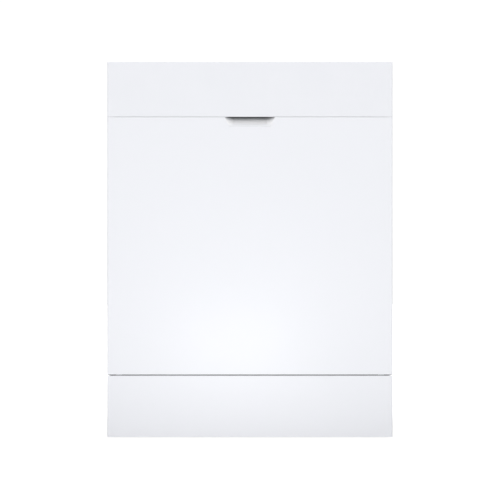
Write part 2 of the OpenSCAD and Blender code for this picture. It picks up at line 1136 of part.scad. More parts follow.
module cutlery_basket() {
  color(grey) {
    difference() {
      in_xy(lower_floor + 2.65, lower_floor + 7)
        translate([180, -60])
          round_rect(84, 220, 6);
      for (y = [-150 : 15 : 30])
        for (x = [150 : 15 : 210])
          span([x - 5, y - 5, lower_floor], [x + 4, y + 4, lower_floor + 9]);
    }
    for (x = [138, 220])
      lattice_x(x, -170, 50);
    for (y = [-170, -97.3, -24.7, 48])
      lattice_y(y, 140.05, 219.95);
  }
}

// ---- Show ----

base_pan();
side_frame_left();
side_frame_right();
top_crossbars();
back_panel();
frame_screws();
tub();
door_gasket();
lower_seal();
damping_mats();
heat_exchanger();
strike_plate();
kick_plate();
hinge_brackets();
door_springs();
rope_pulleys();
sump();
filter_plate();
filter_cup();
circulation_pump();
drain_pump();
salt_container();
salt_cap();
inlet_valve();
power_module();
feed_pipe();
top_shower();
lower_spray_arm();
foot_front_left();
foot_front_right();
foot_rear_left();
foot_rear_right();
rollers_front();
rollers_rear();
door_panel();
fascia();
handle_pocket();
door_liner();
hinge_arms();
dispenser();
detergent_lid();
rinse_cap();
door_latch();
control_module();
display_window();
power_button();
program_button();
option_button();
start_button();
upper_basket();
rack_rails();
rack_duct();
upper_spray_arm();
cup_shelf_left();
cup_shelf_right();
lower_basket();
cutlery_basket();
wheels_front();
wheels_rear();
fold_tines();
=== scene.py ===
import bpy
import bmesh
import math
from mathutils import Matrix, Vector


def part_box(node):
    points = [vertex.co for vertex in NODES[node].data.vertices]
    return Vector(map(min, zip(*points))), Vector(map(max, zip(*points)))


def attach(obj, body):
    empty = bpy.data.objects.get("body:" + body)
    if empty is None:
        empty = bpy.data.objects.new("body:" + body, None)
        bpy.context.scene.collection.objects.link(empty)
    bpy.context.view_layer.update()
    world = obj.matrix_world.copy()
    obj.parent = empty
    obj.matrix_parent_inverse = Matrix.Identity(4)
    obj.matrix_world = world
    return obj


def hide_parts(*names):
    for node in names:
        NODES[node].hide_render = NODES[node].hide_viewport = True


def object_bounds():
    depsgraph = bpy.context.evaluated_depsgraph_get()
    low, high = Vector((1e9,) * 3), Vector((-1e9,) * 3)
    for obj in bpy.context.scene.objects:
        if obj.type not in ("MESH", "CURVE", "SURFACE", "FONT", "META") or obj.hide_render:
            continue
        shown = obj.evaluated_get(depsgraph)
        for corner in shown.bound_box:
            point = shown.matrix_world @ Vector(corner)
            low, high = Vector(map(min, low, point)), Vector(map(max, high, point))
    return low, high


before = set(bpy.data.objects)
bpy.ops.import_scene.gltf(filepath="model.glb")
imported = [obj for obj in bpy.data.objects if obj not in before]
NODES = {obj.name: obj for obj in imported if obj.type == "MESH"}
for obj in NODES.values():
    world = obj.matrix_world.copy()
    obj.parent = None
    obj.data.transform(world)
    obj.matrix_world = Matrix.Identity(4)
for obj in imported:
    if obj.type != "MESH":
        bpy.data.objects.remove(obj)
lo0, hi0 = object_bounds()
SCENE = bpy.context.scene
SCENE.view_settings.view_transform = "Standard"

MM = 0.001

# Width of the picture, as a multiple of the front's width.
PICTURE = 1.752
LENS = 200.0
SENSOR = 36.0

# Strength of the light all round, and of the floor and the backdrop as the camera sees them.
WORLD = 1.11
FLOOR_GLOW = 0.9
BACKDROP = 1.05


# ---- Camera, light and stage ----

def add_camera():
    """A long lens straight in front of the machine, half way up it."""
    data = bpy.data.cameras.new("camera")
    cam = bpy.data.objects.new("camera", data)
    SCENE.collection.objects.link(cam)
    data.lens = LENS
    data.sensor_width = SENSOR
    lo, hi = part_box("kick_plate")
    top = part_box("fascia")[1].z
    distance = PICTURE * (hi.x - lo.x) * LENS / SENSOR
    cam.location = (0.2 * MM, lo.y - distance, (lo.z + top) / 2 - 1 * MM)
    cam.rotation_euler = (math.pi / 2, 0, 0)
    data.clip_start, data.clip_end = 0.05, 200
    SCENE.camera = cam


def area(name, place, aim, size, power):
    """A rectangular lamp that points from place to aim."""
    data = bpy.data.lights.new(name, "AREA")
    data.shape = "RECTANGLE"
    data.size, data.size_y = size
    data.energy = power
    lamp = bpy.data.objects.new(name, data)
    SCENE.collection.objects.link(lamp)
    lamp.location = place
    lamp.rotation_euler = (Vector(aim) - Vector(place)).to_track_quat("-Z", "Y").to_euler()
    lamp.visible_camera = False


def math_node(tree, operation, *values):
    """A math node. A value is a socket to link or a number to set."""
    n = tree.nodes.new("ShaderNodeMath")
    n.operation = operation
    for socket, v in zip(n.inputs, values):
        if isinstance(v, float):
            socket.default_value = v
        else:
            tree.links.new(v, socket)
    return n.outputs[0]


def add_world():
    """A soft wall of light in front of the machine, dimmer above and behind it."""
    world = bpy.data.worlds.new("studio")
    SCENE.world = world
    world.use_nodes = True
    tree = world.node_tree
    tree.nodes.clear()
    out = tree.nodes.new("ShaderNodeOutputWorld")
    back = tree.nodes.new("ShaderNodeBackground")
    back.inputs["Color"].default_value = (1.0, 1.0, 1.0, 1)
    ways = tree.nodes.new("ShaderNodeSeparateXYZ")
    tree.links.new(tree.nodes.new("ShaderNodeTexCoord").outputs["Generated"], ways.inputs[0])
    lean = math_node(tree, "MULTIPLY_ADD", ways.outputs["Z"], 0.4, ways.outputs["Y"])
    wall = tree.nodes.new("ShaderNodeMapRange")
    wall.inputs["From Min"].default_value = -1.0
    wall.inputs["To Min"].default_value = 1.5 * WORLD
    wall.inputs["To Max"].default_value = 0.35 * WORLD
    tree.links.new(lean, wall.inputs["Value"])
    seen = tree.nodes.new("ShaderNodeLightPath").outputs["Is Camera Ray"]
    level = tree.nodes.new("ShaderNodeMix")
    level.inputs[3].default_value = BACKDROP
    tree.links.new(seen, level.inputs[0])
    tree.links.new(wall.outputs[0], level.inputs[2])
    tree.links.new(level.outputs[0], back.inputs["Strength"])
    tree.links.new(back.outputs[0], out.inputs["Surface"])


def floor_material():
    """Pale floor whose colour is painted darker close to the machine's foot, painted shade so that it throws
    less light up onto it.
    """
    m = bpy.data.materials.new("studio_floor")
    m.use_nodes = True
    tree = m.node_tree
    b = tree.nodes["Principled BSDF"]
    parts = tree.nodes.new("ShaderNodeSeparateXYZ")
    tree.links.new(tree.nodes.new("ShaderNodeTexCoord").outputs["Object"], parts.inputs[0])
    reach = []
    for axis, half in (("X", hi0.x), ("Y", hi0.y)):
        size = math_node(tree, "ABSOLUTE", parts.outputs[axis])
        reach.append(math_node(tree, "SUBTRACT", size, half))
    # painted shade: the floor's colour is darker within reach of the machine's foot
    tone = tree.nodes.new("ShaderNodeMapRange")
    tone.inputs["From Min"].default_value = 0.08
    tone.inputs["From Max"].default_value = 0.20
    tone.inputs["To Min"].default_value = 0.22
    tone.inputs["To Max"].default_value = 0.5
    tree.links.new(math_node(tree, "MAXIMUM", *reach), tone.inputs["Value"])
    tree.links.new(tone.outputs[0], b.inputs["Base Color"])
    b.inputs["Roughness"].default_value = 0.9
    b.inputs["Specular IOR Level"].default_value = 0.1
    b.inputs["Emission Color"].default_value = (1, 1, 1, 1)
    seen = tree.nodes.new("ShaderNodeLightPath").outputs["Is Camera Ray"]
    tree.links.new(math_node(tree, "MULTIPLY", seen, FLOOR_GLOW), b.inputs["Emission Strength"])
    return m


def add_floor():
    """A wide floor that stands on the stage, outside the part."""
    bm = bmesh.new()
    bmesh.ops.create_grid(bm, x_segments=8, y_segments=8, size=14)
    me = bpy.data.meshes.new("floor")
    bm.to_mesh(me)
    bm.free()
    floor = bpy.data.objects.new("floor", me)
    SCENE.collection.objects.link(floor)
    me.materials.append(floor_material())


def add_lamps():
    """Two small soft lamps low in front, one key lamp from the left and one broad lamp behind."""
    low_x, low_z = -35 * MM, 170 * MM
    foot = (low_x, lo0.y, low_z)
    area("near", (low_x, -1.15, low_z), foot, (0.35, 0.2), 0.2)
    area("low", (low_x, -0.80, low_z), foot, (0.25, 0.15), 0.25)
    area("key", (-1.8, -3.6, 3.2), (0, -0.2, 0.5), (2.0, 2.0), 4)
    area("back", (1.5, 3.5, 3.0), (0, 0, 0.4), (3.0, 2.0), 30)


# ---- Materials ----

class Maker:
    """Builds one node material on the Principled shader."""

    def __init__(self, name):
        self.m = bpy.data.materials.new(name)
        self.m.use_nodes = True
        self.nt = self.m.node_tree
        self.b = self.nt.nodes["Principled BSDF"]
        self.coord = self.add("ShaderNodeTexCoord").outputs["Object"]

    def add(self, kind, **values):
        """A new node with the named inputs set."""
        n = self.nt.nodes.new(kind)
        for k, v in values.items():
            n.inputs[k].default_value = v
        return n

    def link(self, a, b):
        self.nt.links.new(a, b)

    def noise(self, scale, detail, stretch=(1, 1, 1)):
        """Noise in the object's own coordinates. A large stretch packs the grain along that axis."""
        mp = self.add("ShaderNodeMapping", Scale=stretch)
        self.link(self.coord, mp.inputs["Vector"])
        n = self.add("ShaderNodeTexNoise", Scale=scale, Detail=detail)
        self.link(mp.outputs[0], n.inputs["Vector"])
        return n.outputs["Fac"]

    def ramp(self, fac, stops):
        """Colours at places from 0 to 1."""
        r = self.nt.nodes.new("ShaderNodeValToRGB")
        e = r.color_ramp.elements
        while len(e) < len(stops):
            e.new(0.5)
        for el, (p, c) in zip(e, stops):
            el.position = p
            el.color = (*c, 1)
        self.link(fac, r.inputs[0])
        return r.outputs[0]

    def span(self, fac, a, b):
        """Carries 0 to 1 over to a to b."""
        r = self.add("ShaderNodeMapRange")
        r.inputs["To Min"].default_value = a
        r.inputs["To Max"].default_value = b
        self.link(fac, r.inputs["Value"])
        return r.outputs[0]

    def mix(self, fac, a, b):
        """Blends two colours. Each is a socket to link or a colour to set."""
        n = self.nt.nodes.new("ShaderNodeMix")
        n.data_type = "RGBA"
        self.link(fac, n.inputs["Factor"])
        for socket, v in ((n.inputs[6], a), (n.inputs[7], b)):
            if isinstance(v, tuple):
                socket.default_value = (*v, 1)
            else:
                self.link(v, socket)
        return n.outputs[2]

    def bump(self, layers):
        """Stacks bump layers of (height, strength, distance)."""
        last = None
        for height, strength, distance in layers:
            n = self.add("ShaderNodeBump", Strength=strength, Distance=distance)
            self.link(height, n.inputs["Height"])
            if last is not None:
                self.link(last, n.inputs["Normal"])
            last = n.outputs[0]
        self.link(last, self.b.inputs["Normal"])


def enamel(name, low, high):
    """Baked paint with a faint orange peel."""
    k = Maker(name)
    k.link(k.ramp(k.noise(1.7, 2), [(0.3, low), (0.7, high)]), k.b.inputs["Base Color"])
    k.link(k.span(k.noise(24, 4), 0.30, 0.40), k.b.inputs["Roughness"])
    k.bump([(k.noise(420, 2), 0.05, 0.4 * MM), (k.noise(9, 1), 0.04, 2 * MM)])
    k.b.inputs["Coat Weight"].default_value = 0.15
    k.b.inputs["Coat Roughness"].default_value = 0.2
    return k.m


def plastic(name, low, high, rough, grain, scale, spec=0.5):
    """Moulded plastic with a fine grain."""
    k = Maker(name)
    k.link(k.ramp(k.noise(14, 4), [(0.3, low), (0.7, high)]), k.b.inputs["Base Color"])
    k.link(k.span(k.noise(60, 4), *rough), k.b.inputs["Roughness"])
    k.bump([(k.noise(scale, 3), grain, 0.3 * MM)])
    k.b.inputs["Specular IOR Level"].default_value = spec
    return k.m


def brushed(name, low, high, along, rough=(0.22, 0.38), scale=26):
    """Steel with fine lines drawn out along one axis."""
    k = Maker(name)
    fine = k.noise(scale, 6, along)
    wide = k.noise(3.0, 3)
    k.link(k.mix(fine, low, high), k.b.inputs["Base Color"])
    base = k.span(wide, rough[0] - 0.04, rough[0] + 0.06)
    k.link(math_node(k.nt, "MULTIPLY_ADD", fine, rough[1] - rough[0], base), k.b.inputs["Roughness"])
    k.b.inputs["Metallic"].default_value = 1.0
    k.bump([(fine, 0.06, 0.3 * MM), (wide, 0.03, 2 * MM)])
    return k.m


def zinc(name):
    """Galvanised sheet: every crystal has its own tone, roughness and height."""
    k = Maker(name)
    v = k.add("ShaderNodeTexVoronoi", Scale=120.0)
    k.link(k.coord, v.inputs["Vector"])
    cell = k.nt.nodes.new("ShaderNodeSeparateColor")
    k.link(v.outputs["Color"], cell.inputs[0])
    tones = [(0.0, (0.54, 0.56, 0.58)), (0.5, (0.60, 0.62, 0.64)), (1.0, (0.67, 0.69, 0.70))]
    k.link(k.ramp(cell.outputs[0], tones), k.b.inputs["Base Color"])
    k.link(k.span(cell.outputs[1], 0.34, 0.48), k.b.inputs["Roughness"])
    k.b.inputs["Metallic"].default_value = 0.9
    k.bump([(cell.outputs[2], 0.05, 0.3 * MM), (k.noise(5, 2), 0.05, 2 * MM)])
    return k.m


def rubber(name, low, high, rough=(0.6, 0.8)):
    """Matt rubber or bitumen."""
    k = Maker(name)
    k.link(k.ramp(k.noise(30, 5), [(0.3, low), (0.7, high)]), k.b.inputs["Base Color"])
    k.link(k.span(k.noise(90, 4), *rough), k.b.inputs["Roughness"])
    k.bump([(k.noise(600, 3), 0.2, 0.4 * MM)])
    k.b.inputs["Specular IOR Level"].default_value = 0.3
    return k.m


def scoop(name):
    """White plastic with painted shade that darkens it towards the roof of the finger scoop, and painted
    light on its two flanks.
    """
    k = Maker(name)
    parts = k.nt.nodes.new("ShaderNodeSeparateXYZ")
    k.link(k.coord, parts.inputs[0])
    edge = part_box("fascia")[0].z
    high = k.add("ShaderNodeMapRange")
    high.inputs["From Min"].default_value = edge - 20.5 * MM
    high.inputs["From Max"].default_value = edge + 4.5 * MM
    k.link(parts.outputs["Z"], high.inputs["Value"])
    pale = (0.95, 0.95, 0.965)
    # painted shade: darkest up under the fascia's lip, and a little darker at the lower lip
    shade = k.ramp(high.outputs[0], [
        (0.14, (0.80, 0.81, 0.84)), (0.20, (0.87, 0.88, 0.91)), (0.28, pale), (0.52, pale),
        (0.61, (0.77, 0.78, 0.80)), (0.69, (0.60, 0.61, 0.63)),
        (0.78, (0.31, 0.315, 0.33)), (1.0, (0.10, 0.10, 0.104)),
    ])
    # painted light: the two flanks are coloured paler than the middle, as if they caught more light
    flank = k.add("ShaderNodeMapRange")
    flank.inputs["From Min"].default_value = 36 * MM
    flank.inputs["From Max"].default_value = 48 * MM
    flank.inputs["To Max"].default_value = 0.42
    k.link(math_node(k.nt, "ABSOLUTE", parts.outputs["X"]), flank.inputs["Value"])
    lit = k.mix(flank.outputs[0], shade, pale)
    k.link(k.mix(k.span(k.noise(40, 3), 0.0, 0.02), lit, (0.5, 0.5, 0.52)), k.b.inputs["Base Color"])
    k.link(k.span(k.noise(60, 4), 0.4, 0.5), k.b.inputs["Roughness"])
    k.bump([(k.noise(700, 3), 0.04, 0.3 * MM)])
    return k.m


WHITE = enamel("white_enamel", (0.872, 0.884, 0.925), (0.885, 0.896, 0.936))
WHITE_P = plastic("white_plastic", (0.862, 0.874, 0.915), (0.876, 0.887, 0.927), (0.36, 0.46), 0.04, 700)
SCOOP = scoop("scoop_plastic")
STEEL = brushed("brushed_tub_steel", (0.60, 0.60, 0.60), (0.78, 0.78, 0.77), (60, 1, 1))
LINER = brushed("brushed_liner_steel", (0.60, 0.60, 0.60), (0.78, 0.78, 0.77), (1, 60, 1))
ZINC = zinc("zinc_sheet")
BRIGHT = brushed("bright_steel", (0.55, 0.55, 0.56), (0.72, 0.72, 0.73), (1, 1, 1), (0.18, 0.3), 80)
BLACK = plastic("black_plastic", (0.020, 0.020, 0.022), (0.035, 0.035, 0.038), (0.42, 0.6), 0.25, 500)
GREY = plastic("grey_plastic", (0.20, 0.21, 0.22), (0.25, 0.26, 0.275), (0.38, 0.52), 0.12, 700)
PALE = plastic("pale_plastic", (0.66, 0.67, 0.66), (0.72, 0.73, 0.72), (0.34, 0.5), 0.10, 700)
SEAL = rubber("seal_rubber", (0.018, 0.018, 0.018), (0.03, 0.03, 0.03))
TAR = rubber("bitumen_mat", (0.010, 0.010, 0.011), (0.026, 0.026, 0.027), (0.75, 0.95))
COATED = plastic("coated_wire", (0.36, 0.38, 0.41), (0.42, 0.44, 0.47), (0.3, 0.42), 0.06, 900)
TINE = plastic("coated_tine", (0.30, 0.37, 0.45), (0.36, 0.43, 0.51), (0.3, 0.42), 0.06, 900)
GLASS = plastic("dark_window", (0.008, 0.008, 0.010), (0.014, 0.014, 0.017), (0.06, 0.12), 0.01, 300, 0.6)


def paint(name, material):
    """Gives a CAD node its material."""
    o = NODES[name]
    o.data.materials.clear()
    o.data.materials.append(material)


# ---- Mesh helpers ----

def around(n):
    """Cosine and sine of n even steps of a full turn."""
    return [(math.cos(2 * math.pi * k / n), math.sin(2 * math.pi * k / n)) for k in range(n)]


def middle(box):
    """Middle of a box given by its two corners."""
    lo, hi = box
    return (lo.x + hi.x) / 2, (lo.y + hi.y) / 2, (lo.z + hi.z) / 2


def round_edges(o, width, segments):
    """Rounds an object's sharp edges with a modifier."""
    m = o.modifiers.new("edges", "BEVEL")
    m.width = width
    m.segments = segments
    m.limit_method = "ANGLE"
    m.angle_limit = math.radians(38)
    m.harden_normals = True


def piece(name, bm, material, body, nodes, bevel=0.0, segments=2, angle=38):
    """Turns a mesh into a piece that rides a body and stands for the CAD nodes it replaces.

    Edges sharper than angle, in degrees, are shaded as creases.
    """
    me = bpy.data.meshes.new(name)
    bmesh.ops.remove_doubles(bm, verts=bm.verts, dist=1e-6)
    bmesh.ops.recalc_face_normals(bm, faces=bm.faces)
    bm.to_mesh(me)
    bm.free()
    for p in me.polygons:
        p.use_smooth = True
    me.set_sharp_from_angle(angle=math.radians(angle))
    o = bpy.data.objects.new(name, me)
    SCENE.collection.objects.link(o)
    me.materials.append(material)
    if bevel:
        round_edges(o, bevel, segments)
    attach(o, body)
    if nodes:
        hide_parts(*nodes)
    return o


def rounded(points, radius, steps=5, closed=False):
    """A polyline whose corners are turned into arcs."""
    pts = [Vector(p) for p in points]
    n = len(pts)
    out = []
    for i, p in enumerate(pts):
        if not closed and i in (0, n - 1):
            out.append(p)
            continue
        a, b = pts[i - 1] - p, pts[(i + 1) % n] - p
        la, lb = a.length, b.length
        if la < 1e-9 or lb < 1e-9:
            continue
        a, b = a / la, b / lb
        turn = a.angle(b)
        if turn > math.pi - 0.02:
            out.append(p)
            continue
        cut = min(radius / math.tan(turn / 2), la * 0.49, lb * 0.49)
        r = cut * math.tan(turn / 2)
        mid = (a + b).normalized()
        centre = p + mid * (r / math.sin(turn / 2))
        s, e = p + a * cut - centre, p + b * cut - centre
        sweep_angle = s.angle(e)
        for k in range(steps + 1):
            t = k / steps
            if sweep_angle < 1e-6:
                out.append(centre + s)
            else:
                blend = s * math.sin((1 - t) * sweep_angle) + e * math.sin(t * sweep_angle)
                out.append(centre + blend / math.sin(sweep_angle))
    return out


def tube(bm, path, r, seg, closed=False):
    """Sweeps a round bar along a path, with round ends where it is open."""
    pts = [Vector(p) for p in path]
    n = len(pts)
    tangents = []
    for i in range(n):
        a = pts[i - 1] if (i > 0 or closed) else pts[i]
        b = pts[(i + 1) % n] if (i < n - 1 or closed) else pts[i]
        tangents.append((b - a).normalized())
    up = Vector((0, 0, 1)) if abs(tangents[0].z) < 0.9 else Vector((1, 0, 0))
    normal = (up - tangents[0] * up.dot(tangents[0])).normalized()
    rings = []

    def ring(centre, t, nrm, radius):
        side = t.cross(nrm)
        return [bm.verts.new(centre + (nrm * c + side * s) * radius) for c, s in around(seg)]

    def join(a, b, shift=0):
        for k in range(seg):
            j = (k + shift) % seg
            bm.faces.new((a[j], a[(j + 1) % seg], b[(k + 1) % seg], b[k]))

    if not closed:
        rings.append(ring(pts[0] - tangents[0] * r * 0.75, tangents[0], normal, r * 0.5))
    for p, t in zip(pts, tangents):
        normal = (normal - t * normal.dot(t)).normalized()
        rings.append(ring(p, t, normal, r))
    if not closed:
        rings.append(ring(pts[-1] + tangents[-1] * r * 0.75, tangents[-1], normal, r * 0.5))
    for a, b in zip(rings, rings[1:]):
        join(a, b)
    if closed:
        best = min(range(seg), key=lambda s: (rings[-1][s].co - rings[0][0].co).length)
        join(rings[-1], rings[0], best)
    else:
        bm.faces.new(rings[0][::-1])
        bm.faces.new(rings[-1])


# Turns that lay the Z axis along each of the three axes.
AXES = {
    "X": Matrix.Rotation(math.pi / 2, 3, "Y"),
    "Y": Matrix.Rotation(-math.pi / 2, 3, "X"),
    "Z": Matrix.Identity(3),
}


def lathe(bm, profile, centre, axis, seg):
    """Turns a profile of (radius, height) about an axis through centre."""
    origin = Vector(centre)
    rings = []
    for r, h in profile:
        at = [(0, 0, h)] if r < 1e-7 else [(r * c, r * s, h) for c, s in around(seg)]
        rings.append([bm.verts.new(origin + AXES[axis] @ Vector(p)) for p in at])
    for a, b in zip(rings, rings[1:]):
        for k in range(seg):
            quad = [a[k % len(a)], a[(k + 1) % len(a)], b[(k + 1) % len(b)], b[k % len(b)]]
            quad = list(dict.fromkeys(quad))
            if len(quad) > 2:
                bm.faces.new(quad)
    for r in (rings[0], rings[-1]):
        if len(r) > 1:
            bm.faces.new(r)


def rrect(cx, cy, w, h, r, n=5):
    """Rounded rectangle outline as 2D points."""
    out = []
    for i, (sx, sy) in enumerate(((1, 1), (-1, 1), (-1, -1), (1, -1))):
        for k in range(n + 1):
            a = math.pi / 2 * (i + k / n)
            out.append((cx + sx * (w / 2 - r) + r * math.cos(a), cy + sy * (h / 2 - r) + r * math.sin(a)))
    return out


def plate(bm, outer, holes, place, a, b):
    """Solid between levels a and b with the given outline and holes. place(u, v, w) gives a point."""
    start = set(bm.faces)
    edges = []
    for loop in [outer, *holes]:
        vs = [bm.verts.new(place(u, v, a)) for u, v in loop]
        edges += [bm.edges.new((vs[i], vs[(i + 1) % len(vs)])) for i in range(len(vs))]
    res = bmesh.ops.triangle_fill(bm, use_beauty=True, use_dissolve=False, edges=edges)
    faces = [g for g in res["geom"] if isinstance(g, bmesh.types.BMFace)]
    # dict.fromkeys drops repeats and keeps the order, so every run gives the same mesh
    corners = list(dict.fromkeys(v for f in faces for v in f.verts))
    inner = list(dict.fromkeys(e for f in faces for e in f.edges if len(e.link_faces) == 2))
    bmesh.ops.dissolve_limit(bm, angle_limit=0.01, verts=corners, edges=inner)
    faces = [f for f in bm.faces if f not in start]
    ext = bmesh.ops.extrude_face_region(bm, geom=faces, use_keep_orig=True)
    shift = Vector(place(0, 0, b)) - Vector(place(0, 0, a))
    bmesh.ops.translate(bm, vec=shift, verts=[g for g in ext["geom"] if isinstance(g, bmesh.types.BMVert)])


# Three ways to place an outline's point (u, v) at level w.

def xz(u, v, w):
    return (u, w, v)


def xy(u, v, w):
    return (u, v, w)


def yz(u, v, w):
    return (w, u, v)


def mirror_x(bm):
    """Adds the mirror image on the other side of the machine."""
    geom = bm.verts[:] + bm.edges[:] + bm.faces[:]
    res = bmesh.ops.duplicate(bm, geom=geom)
    verts = [g for g in res["geom"] if isinstance(g, bmesh.types.BMVert)]
    for v in verts:
        v.co.x = -v.co.x
    bmesh.ops.reverse_faces(bm, faces=[g for g in res["geom"] if isinstance(g, bmesh.types.BMFace)])


# ---- Front ----

def add_pocket():
    """Finger scoop: a smooth bowl that starts flush with the door and runs up behind the fascia."""
    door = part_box("door_panel")[0].y
    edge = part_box("fascia")[0].z
    tall, deep = 21 * MM, 28.6 * MM
    low_half, high_half, flat = 43 * MM, 53.35 * MM, 34 * MM
    front = door + 0.2 * MM
    low, top = edge - tall, edge + 17.5 * MM
    across, up = 56, 30
    bm = bmesh.new()
    grid = []
    for j in range(up + 1):
        t = j / up
        # an inclined face that leans back from the lower lip
        z = low + (top - low) * (0.12 * t * t + 0.88 * t)
        sink = deep * (1 - (1 - t) ** 1.25) * min(1.0, 0.35 + 2.6 * t)
        half = low_half + (high_half - low_half) * min((z - low) / tall, 1.0)
        row = []
        for i in range(across + 1):
            x = (-1 + 2 * i / across) * half
            # the flanks come forward to the door on both sides of the flat middle
            side = max(0.0, (abs(x) - flat) / (half - flat))
            row.append(bm.verts.new((x, front + sink * (1 - side ** 1.35), z)))
        grid.append(row)
    # roof of the scoop, behind the fascia
    grid.append([bm.verts.new((v.co.x, door + 4.5 * MM, top)) for v in grid[-1]])
    for a, b in zip(grid, grid[1:]):
        for i in range(across):
            bm.faces.new((a[i], a[i + 1], b[i + 1], b[i]))
    o = piece("scoop", bm, SCOOP, "door", ["handle_pocket"], angle=50)
    sheet = o.modifiers.new("sheet", "SOLIDIFY")
    sheet.thickness = 1.6 * MM
    sheet.offset = -1


def add_sill():
    """Rubber strip along the foot of the door, seen through the lower seam."""
    lo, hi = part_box("door_panel")
    bm = bmesh.new()
    strip = rrect(0, lo.z + 1.8 * MM, 597.2 * MM, 7.5 * MM, 1.2 * MM)
    plate(bm, strip, [], xz, hi.y + 0.2 * MM, hi.y + 2.2 * MM)
    for k in range(5):
        line = rrect(0, lo.z + (4.8 + 0.6 * k) * MM, 580 * MM, 0.4 * MM, 0.18 * MM, 2)
        plate(bm, line, [], xz, hi.y + 2.1 * MM, hi.y + 3 * MM)
    piece("door_sill_strip", bm, SEAL, "door", ())


# ---- Wire racks ----

RACK_FRONT, RACK_BACK = -0.196, 0.236
UPPER_FLOOR, LOWER_FLOOR = 0.470, 0.216

# Radii of the bars.
FRAME, HOOP, RUNNER, WIRE, PRONG = 2.5 * MM, 1.9 * MM, 2.2 * MM, 1.6 * MM, 1.5 * MM


def rack_mesh(floor, tall, half):
    """Basket of crossed wires held by three hoops. half is half of its width."""
    bm = bmesh.new()
    top = floor + tall
    for z, bar, seg in ((floor, FRAME, 10), (top, FRAME, 10), (floor + tall * 0.5, HOOP, 8)):
        corners = [(-half, RACK_FRONT, z), (half, RACK_FRONT, z), (half, RACK_BACK, z), (-half, RACK_BACK, z)]
        tube(bm, rounded(corners, 22 * MM, 6, True), bar, seg, True)
    along, across = 18, 16
    z = floor + 1.2 * MM
    for i in range(1, along):
        x = -half + 2 * half * i / along
        run = [(x, RACK_FRONT, top), (x, RACK_FRONT, z), (x, RACK_BACK, z), (x, RACK_BACK, top)]
        tube(bm, rounded(run, 16 * MM, 4), WIRE, 6)
    z = floor - 1.6 * MM
    for j in range(1, across):
        y = RACK_FRONT + (RACK_BACK - RACK_FRONT) * j / across
        run = [(-half, y, top), (-half, y, z), (half, y, z), (half, y, top)]
        tube(bm, rounded(run, 16 * MM, 4), WIRE, 6)
    return bm


def add_runners(bm, places, floor):
    """Thicker bars along the floor of a rack."""
    z = floor - 1 * MM
    for x in places:
        tube(bm, [(x, RACK_FRONT + 1 * MM, z), (x, RACK_BACK - 1 * MM, z)], RUNNER, 8)


def add_upper_rack():
    """Wire basket with cup prongs, the plates that carry it and its grip."""
    floor = UPPER_FLOOR
    bm = rack_mesh(floor, 0.120, 0.238)
    # rows of prongs for cups
    top = floor + 58 * MM
    for x in (-0.105, 0.105):
        for j in range(9):
            y = -0.160 + j * 0.045
            loop = [(x, y, floor), (x, y + 2 * MM, top), (x, y + 14 * MM, top), (x, y + 16 * MM, floor)]
            tube(bm, rounded(loop, 5.5 * MM, 4), PRONG, 6)
    add_runners(bm, (-0.17, 0.17), floor)
    piece("upper_rack_wire", bm, COATED, "upper_rack", ["upper_basket"])
    # plates that hold the rails, and shelf clips
    bm = bmesh.new()
    for y in (-0.150, 0.190):
        eye = rrect(y, 0.520, 0.010, 0.010, 0.0045)
        plate(bm, rrect(y, 0.520, 0.034, 0.040, 0.006), [eye], yz, 0.2395, 0.2502)
    for y in (-0.100, 0.100):
        plate(bm, rrect(0.2325, 0.5645, 0.016, 0.011, 0.003), [], xz, y - 6 * MM, y + 6 * MM)
    mirror_x(bm)
    piece("rail_carriers", bm, GREY, "upper_rack", ["upper_basket"], bevel=0.6 * MM)
    # handle on the front rail
    bm = bmesh.new()
    grip = rrect(0, 0.581, 0.126, 0.010, 0.0045)
    plate(bm, rrect(0, 0.583, 0.150, 0.026, 0.010), [grip], xz, -0.2005, -0.1925)
    piece("upper_rack_grip", bm, GREY, "upper_rack", ["upper_basket"],
          bevel=1.2 * MM, segments=3)


def add_shelf(side):
    """Folding cup shelf. side is -1 for the left one and 1 for the right one."""
    x, low, top, end = 0.228, 0.564, 0.6205, 0.120
    thin = 1.2 * MM
    bm = bmesh.new()
    tube(bm, [(x, -end - 2 * MM, low), (x, end + 2 * MM, low)], WIRE, 12)
    tube(bm, rounded([(x, -end, low), (x, -end, top), (x, end, top), (x, end, low)], 12 * MM, 5), WIRE, 8)
    for z in (0.578, 0.592, 0.606):
        tube(bm, [(x, -end, z), (x, end, z)], thin, 6)
    for j in range(1, 8):
        y = -end + j * 30 * MM
        tube(bm, [(x, y, low), (x, y, top)], thin, 6)
    if side < 0:
        for v in bm.verts:
            v.co.x = -v.co.x
    name = "cup_shelf_left" if side < 0 else "cup_shelf_right"
    piece(name + "_wire", bm, TINE, name, [name])


